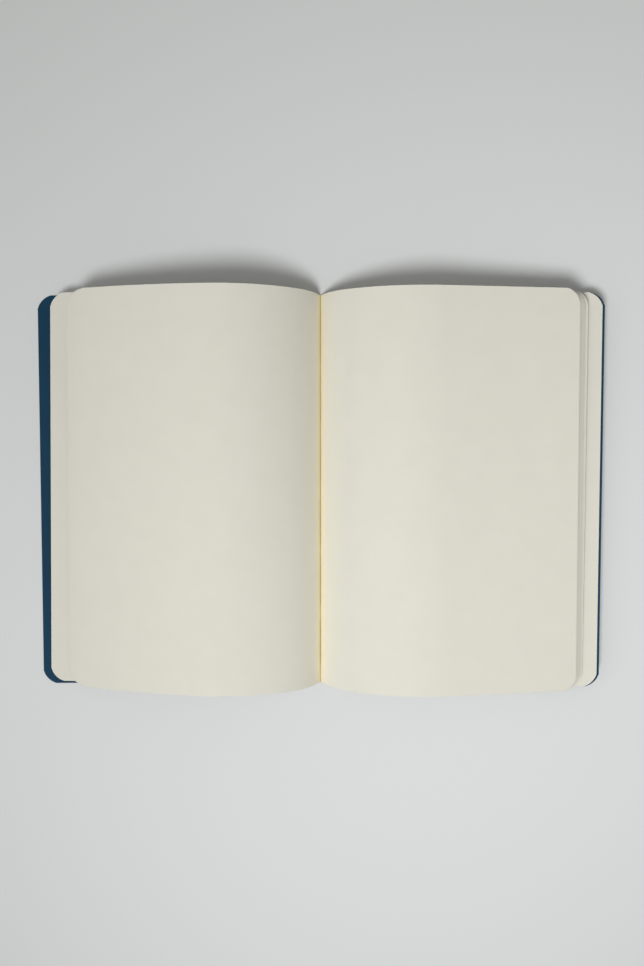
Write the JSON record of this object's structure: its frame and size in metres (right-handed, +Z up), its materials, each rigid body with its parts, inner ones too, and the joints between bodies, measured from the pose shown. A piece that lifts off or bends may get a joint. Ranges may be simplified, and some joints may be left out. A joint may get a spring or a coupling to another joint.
{
  "type": "open notebook",
  "caption": "Soft-covered sewn notebook lying open on its back: blank cream leaves arch out of the gutter over a flat front cover and a back cover that curls up.",
  "frame": {"origin": "on the underside of the spine, below the gutter at half height", "axes": "+X from the gutter to the back cover's fore edge, +Y along the gutter to the head, +Z up out of the open pages"},
  "size_m": [0.3017, 0.211, 0.0379],
  "materials": {
    "paper": "uncoated, matt",
    "cover_card": "through-dyed, smooth matt",
    "thread": "twisted linen"
  },
  "bodies": {
    "block": {"page_block": "paper", "spine": "cover_card", "sewing_thread": "thread"},
    "front_cover": {"front_cover": "cover_card"},
    "back_cover": {"back_cover": "cover_card"}
  },
  "joints": [
    {"name": "front_cover_hinge", "type": "hinge", "parent": "block", "child": "front_cover", "pos_m": [-0.00455, 0, 0.0003], "axis": [0, -1, 0], "range_deg": [0, 90]},
    {"name": "back_cover_hinge", "type": "hinge", "parent": "block", "child": "back_cover", "pos_m": [0.00305, 0, 0.0003], "axis": [0, 1, 0], "range_deg": [0, 90]}
  ]
}
